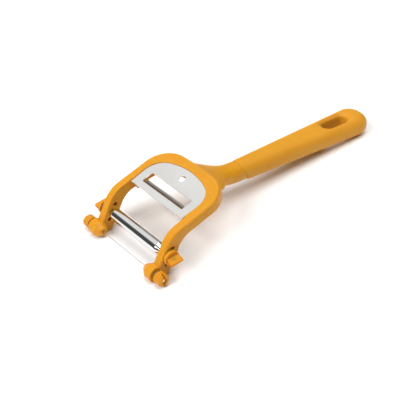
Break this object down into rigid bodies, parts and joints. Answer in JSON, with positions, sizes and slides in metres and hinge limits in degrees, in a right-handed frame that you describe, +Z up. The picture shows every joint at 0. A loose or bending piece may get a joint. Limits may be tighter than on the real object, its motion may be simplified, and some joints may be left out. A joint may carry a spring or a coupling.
{
  "type": "cheese slicer",
  "caption": "Hand-held slicer for cheese: a steel plane plate in a moulded Y-shaped head, a guide roller and a tensioned cutting wire between its arms, and a soft grip with a hanging eye.",
  "frame": {"origin": "middle of the bottom of the whole part's box, with the tip bosses and the grip's end on z = 0", "axes": "+X across the head, +Y from the cutting wire to the grip's end, +Z up"},
  "size_m": [0.0956, 0.2412, 0.0435],
  "materials": {
    "hard_plastic": "satin",
    "soft_plastic": "matte",
    "plate_steel": "brushed",
    "polished_steel": "polished",
    "screw_steel": "turned",
    "wire_steel": "drawn",
    "bush_brass": "turned"
  },
  "bodies": {
    "frame": {"fork_frame": "hard_plastic", "soft_grip": "soft_plastic", "plane_plate": "plate_steel", "guide_axle": "screw_steel", "knob_washer_left": "screw_steel", "knob_washer_right": "screw_steel", "cutting_wire": "wire_steel", "thread_bush_left": "bush_brass", "thread_bush_right": "bush_brass"},
    "roller": {"guide_roller": "polished_steel"},
    "guide_knob_left": {"guide_knob_left": "hard_plastic"},
    "bead_left": {"wire_bead_left": "bush_brass"},
    "tension_left": {"tension_knob_left": "hard_plastic", "tension_screw_left": "screw_steel"},
    "guide_knob_right": {"guide_knob_right": "hard_plastic"},
    "bead_right": {"wire_bead_right": "bush_brass"},
    "tension_right": {"tension_knob_right": "hard_plastic", "tension_screw_right": "screw_steel"}
  },
  "joints": [
    {"name": "roller_spin", "type": "hinge", "parent": "frame", "child": "roller", "pos_m": [0, -0.10192, 0.01525], "axis": [1, 0, 0], "continuous": true},
    {"name": "guide_knob_turn_left", "type": "hinge", "parent": "frame", "child": "guide_knob_left", "pos_m": [0, -0.10192, 0.01525], "axis": [-1, 0, 0], "range_deg": [0, 90]},
    {"name": "wire_travel_left", "type": "slide", "parent": "frame", "child": "bead_left", "axis": [-1, 0, 0], "range_m": [-0.0007, 0.0007]},
    {"name": "tension_turn_left", "type": "hinge", "parent": "bead_left", "child": "tension_left", "pos_m": [0, -0.1146, 0.006], "axis": [-1, 0, 0], "range_deg": [-360, 360]},
    {"name": "guide_knob_turn_right", "type": "hinge", "parent": "frame", "child": "guide_knob_right", "pos_m": [0, -0.10192, 0.01525], "axis": [1, 0, 0], "range_deg": [0, 90]},
    {"name": "wire_travel_right", "type": "slide", "parent": "frame", "child": "bead_right", "axis": [1, 0, 0], "range_m": [-0.0007, 0.0007]},
    {"name": "tension_turn_right", "type": "hinge", "parent": "bead_right", "child": "tension_right", "pos_m": [0, -0.1146, 0.006], "axis": [1, 0, 0], "range_deg": [-360, 360]}
  ],
  "couplings": [
    {"joint": "tension_turn_left", "follows": "wire_travel_left", "rad_per_m": 8976},
    {"joint": "tension_turn_right", "follows": "wire_travel_right", "rad_per_m": 8976}
  ]
}
